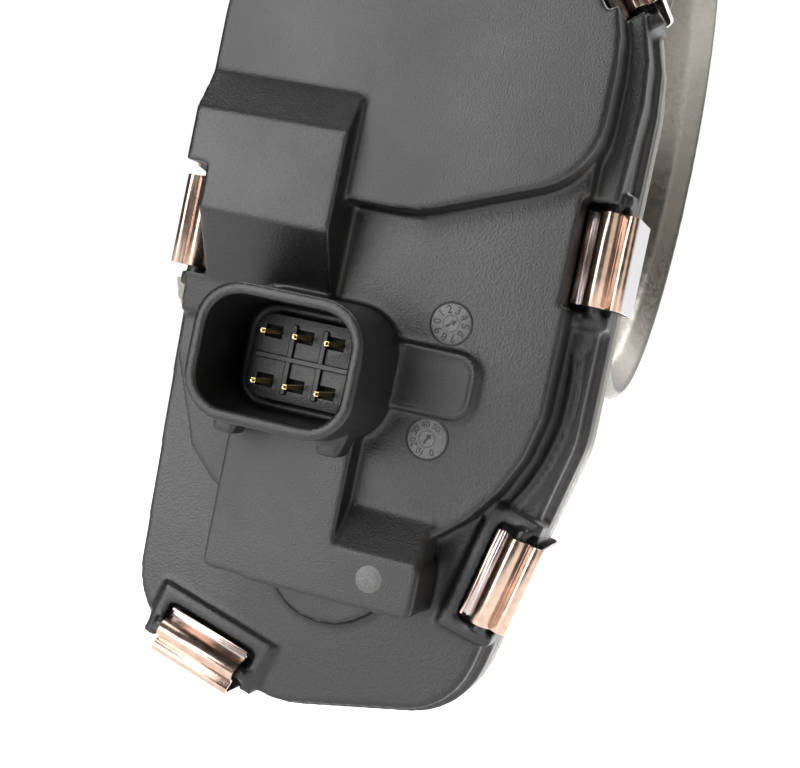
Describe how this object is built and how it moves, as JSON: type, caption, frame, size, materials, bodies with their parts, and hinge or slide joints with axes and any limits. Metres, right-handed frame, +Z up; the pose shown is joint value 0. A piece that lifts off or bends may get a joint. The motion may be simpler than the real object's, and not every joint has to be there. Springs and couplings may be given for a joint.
{
  "type": "throttle body",
  "caption": "Electronic throttle body: cast bore with a butterfly plate, a clipped moulded gear cover with a plug socket, and a motor that turns the plate through gears.",
  "frame": {"origin": "centre of the air bore on the manifold face of the square flange", "axes": "+X along the bore to the air inlet, +Z up from the motor to the shaft, -Y out of the gear cover"},
  "size_m": [0.0775, 0.14, 0.1481],
  "materials": {
    "cast_aluminium": "satin die-cast aluminium, grey-beige",
    "black_plastic": "fine-grained black moulded plastic",
    "spring_steel": "bronze-tinted polished spring steel",
    "gold": "plated contact metal",
    "steel": "plain ground steel",
    "brass": "plain machined brass",
    "gear_plastic": "natural moulded gear plastic",
    "rubber": "matt black seal rubber",
    "board_green": "green circuit board"
  },
  "bodies": {
    "housing": {"connector_pin_a": "gold", "connector_pin_b": "gold", "connector_pin_c": "gold", "connector_pin_d": "gold", "connector_pin_e": "gold", "connector_pin_f": "gold", "cover_clip_left": "spring_steel", "cover_clip_lower_left": "spring_steel", "cover_clip_lower_right": "spring_steel", "cover_clip_right": "spring_steel", "cover_clip_upper_left": "spring_steel", "cover_clip_upper_right": "spring_steel", "cover_gasket": "rubber", "cover_side_bearing": "steel", "far_side_bearing": "steel", "gear_cover": "black_plastic", "idler_pin": "steel", "motor_can": "steel", "motor_end_cap": "black_plastic", "motor_retainer": "steel", "motor_terminal_1": "brass", "motor_terminal_2": "brass", "return_spring": "steel", "sensor_board": "board_green", "sensor_chip": "black_plastic", "shaft_end_plug": "steel", "shaft_seal": "rubber", "stop_screw": "steel", "throttle_housing": "cast_aluminium"},
    "throttle": {"throttle_shaft": "steel", "throttle_plate": "brass", "plate_screw_1": "steel", "plate_screw_2": "steel", "sector_gear": "gear_plastic", "sensor_magnet": "steel"},
    "idler": {"idler_gear": "gear_plastic"},
    "rotor": {"motor_shaft": "steel", "motor_pinion": "brass"}
  },
  "joints": [
    {"name": "throttle_turn", "type": "hinge", "parent": "housing", "child": "throttle", "pos_m": [0.041, 0, 0], "axis": [0, 1, 0], "range_deg": [0, 85], "stiffness_Nm_per_rad": 0.05, "springref_deg": -11.46},
    {"name": "idler_turn", "type": "hinge", "parent": "housing", "child": "idler", "pos_m": [0.041, 0, -0.042], "axis": [0, 1, 0], "range_deg": [-213, 0]},
    {"name": "rotor_turn", "type": "hinge", "parent": "housing", "child": "rotor", "pos_m": [0.041, 0, -0.077], "axis": [0, 1, 0], "range_deg": [0, 1028]}
  ],
  "couplings": [
    {"joint": "idler_turn", "follows": "throttle_turn", "ratio": -2.5},
    {"joint": "rotor_turn", "follows": "throttle_turn", "ratio": 12.083}
  ]
}
